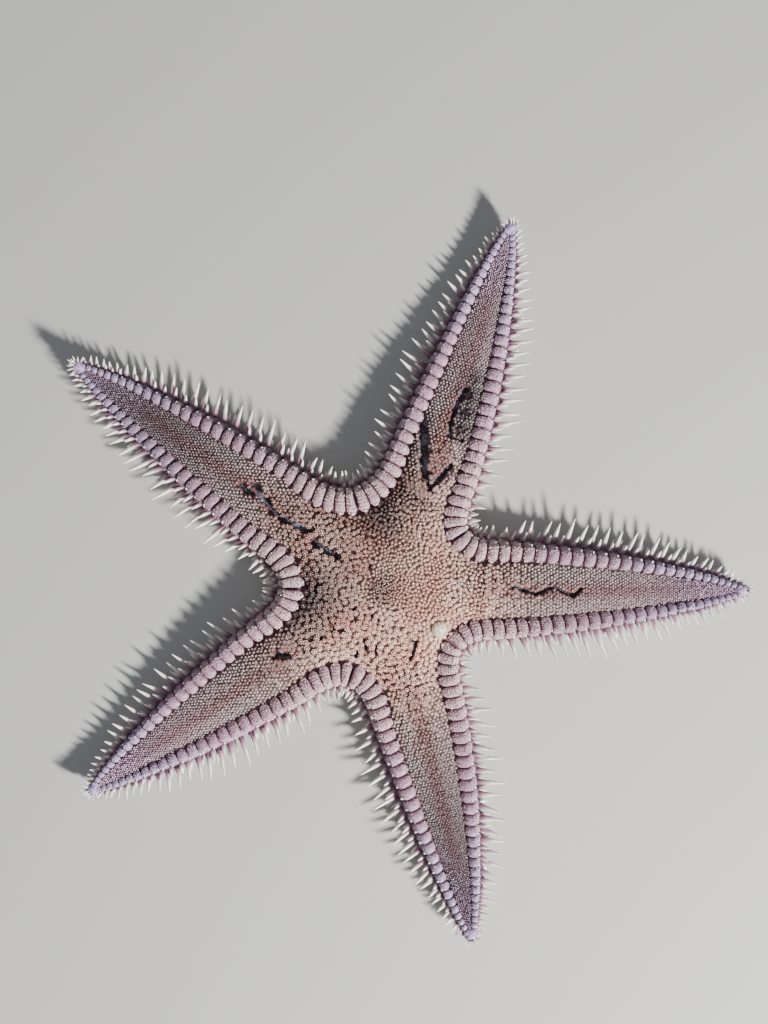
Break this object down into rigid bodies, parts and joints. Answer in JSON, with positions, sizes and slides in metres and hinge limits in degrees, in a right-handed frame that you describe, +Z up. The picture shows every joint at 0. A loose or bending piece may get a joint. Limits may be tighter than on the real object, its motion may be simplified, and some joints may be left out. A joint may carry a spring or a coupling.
{
  "type": "spiny sand star",
  "caption": "Spiny sand star lying flat, with tapering arms, a frame of rounded marginal plates and a fringe of tapering spines.",
  "frame": {"origin": "middle of the overall box, on the floor that the underside rests on", "axes": "+Z up out of the upper side, +Y towards the top of the picture, close to the longest extent, +X to the right of the picture, along arm 1"},
  "size_m": [0.1601, 0.1698, 0.0118],
  "materials": {
    "disc skin": "matt, granular",
    "mouth skin": "matt",
    "madreporite skin": "matt, finely furrowed",
    "arm_1 skin": "matt, granular",
    "arm_1_tip skin": "matt, granular",
    "arm_2 skin": "matt, granular",
    "arm_2_tip skin": "matt, granular",
    "arm_3 skin": "matt, granular",
    "arm_3_tip skin": "matt, granular",
    "arm_4 skin": "matt, granular",
    "arm_4_tip skin": "matt, granular",
    "arm_5 skin": "matt, granular",
    "arm_5_tip skin": "matt, granular"
  },
  "bodies": {
    "root": {"disc": "disc skin", "mouth": "mouth skin", "madreporite": "madreporite skin", "arm_1": "arm_1 skin", "arm_1_tip": "arm_1_tip skin", "arm_2": "arm_2 skin", "arm_2_tip": "arm_2_tip skin", "arm_3": "arm_3 skin", "arm_3_tip": "arm_3_tip skin", "arm_4": "arm_4 skin", "arm_4_tip": "arm_4_tip skin", "arm_5": "arm_5 skin", "arm_5_tip": "arm_5_tip skin"}
  },
  "joints": []
}
